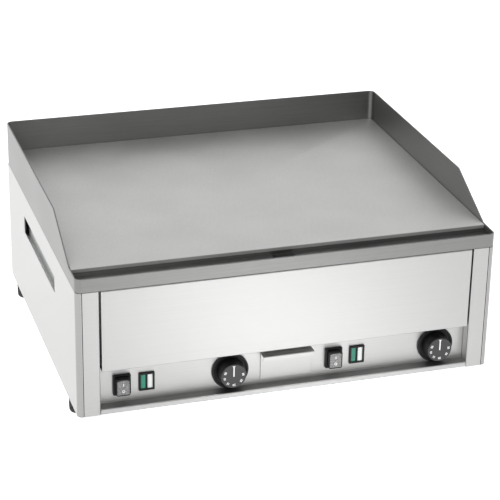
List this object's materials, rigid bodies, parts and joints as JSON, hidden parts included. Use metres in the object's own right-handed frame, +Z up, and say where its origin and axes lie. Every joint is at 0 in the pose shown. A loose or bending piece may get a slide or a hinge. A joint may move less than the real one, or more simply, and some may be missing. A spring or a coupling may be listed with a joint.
{
  "type": "flat top griddle",
  "caption": "Counter-top electric griddle: flat steel plate in a splash guard with a front gutter, folded steel casing, recessed controls, grease drawer and rubber feet.",
  "frame": {"origin": "middle of the footprint, on the surface the feet stand on", "axes": "+X to the operator's right, +Y from the operator to the back, +Z up"},
  "size_m": [0.66, 0.56, 0.303],
  "materials": {
    "guard": "brushed",
    "casing": "satin",
    "plate": "ground",
    "inner_sheet": "satin",
    "knob": "matte",
    "black_trim": "satin",
    "silicone": "gloss",
    "green_lens": "gloss",
    "clear_lens": "gloss",
    "foot_rubber": "matte",
    "element": "matte",
    "insulation": "matte",
    "copper": "satin",
    "ceramic_body": "satin",
    "brass": "satin",
    "loom": "matte",
    "fastener": "satin"
  },
  "bodies": {
    "casing": {"splash_guard": "guard", "griddle_plate": "plate", "left_side_panel": "casing", "right_side_panel": "casing", "front_panel": "casing", "control_panel": "casing", "rear_panel": "casing", "base_pan": "inner_sheet", "left_heat_shield": "inner_sheet", "right_heat_shield": "inner_sheet", "left_drawer_runner": "inner_sheet", "right_drawer_runner": "inner_sheet", "drain_chute": "inner_sheet", "insulation_tray": "inner_sheet", "insulation_blanket": "insulation", "terminal_block": "ceramic_body", "cable_gland": "black_trim", "earth_stud": "brass", "left_knob_bezel": "black_trim", "left_thermostat": "ceramic_body", "left_capillary": "copper", "left_switch_body": "black_trim", "left_switch_boot": "silicone", "left_lamp_body": "black_trim", "left_lamp_green_lens": "green_lens", "left_lamp_clear_lens": "clear_lens", "left_heating_element": "element", "left_element_clamp_front": "inner_sheet", "left_element_clamp_rear": "inner_sheet", "left_limit_thermostat": "fastener", "left_wiring_loom": "loom", "right_knob_bezel": "black_trim", "right_thermostat": "ceramic_body", "right_capillary": "copper", "right_switch_body": "black_trim", "right_switch_boot": "silicone", "right_lamp_body": "black_trim", "right_lamp_green_lens": "green_lens", "right_lamp_clear_lens": "clear_lens", "right_heating_element": "element", "right_element_clamp_front": "inner_sheet", "right_element_clamp_rear": "inner_sheet", "right_limit_thermostat": "fastener", "right_wiring_loom": "loom", "foot_front_left": "foot_rubber", "foot_front_right": "foot_rubber", "foot_rear_left": "foot_rubber", "foot_rear_right": "foot_rubber", "rear_screw_lower_left": "fastener", "rear_screw_lower_right": "fastener", "rear_screw_upper_left": "fastener", "rear_screw_upper_right": "fastener"},
    "drawer": {"drawer_front": "casing", "grease_tray": "casing"},
    "left_dial": {"left_knob": "knob", "left_thermostat_shaft": "fastener"},
    "right_dial": {"right_knob": "knob", "right_thermostat_shaft": "fastener"},
    "left_rocker": {"left_switch_rocker": "black_trim"},
    "right_rocker": {"right_switch_rocker": "black_trim"}
  },
  "joints": [
    {"name": "drawer_slide", "type": "slide", "parent": "casing", "child": "drawer", "axis": [0, -1, 0], "range_m": [0, 0.18]},
    {"name": "left_knob_turn", "type": "hinge", "parent": "casing", "child": "left_dial", "pos_m": [-0.0895, -0.258, 0.064], "axis": [0, 1, 0], "range_deg": [0, 270]},
    {"name": "right_knob_turn", "type": "hinge", "parent": "casing", "child": "right_dial", "pos_m": [0.247, -0.258, 0.064], "axis": [0, 1, 0], "range_deg": [0, 270]},
    {"name": "left_switch_rock", "type": "hinge", "parent": "casing", "child": "left_rocker", "pos_m": [-0.259, -0.2625, 0.064], "axis": [1, 0, 0], "range_deg": [0, 20]},
    {"name": "right_switch_rock", "type": "hinge", "parent": "casing", "child": "right_rocker", "pos_m": [0.0775, -0.2625, 0.064], "axis": [1, 0, 0], "range_deg": [0, 20]}
  ]
}
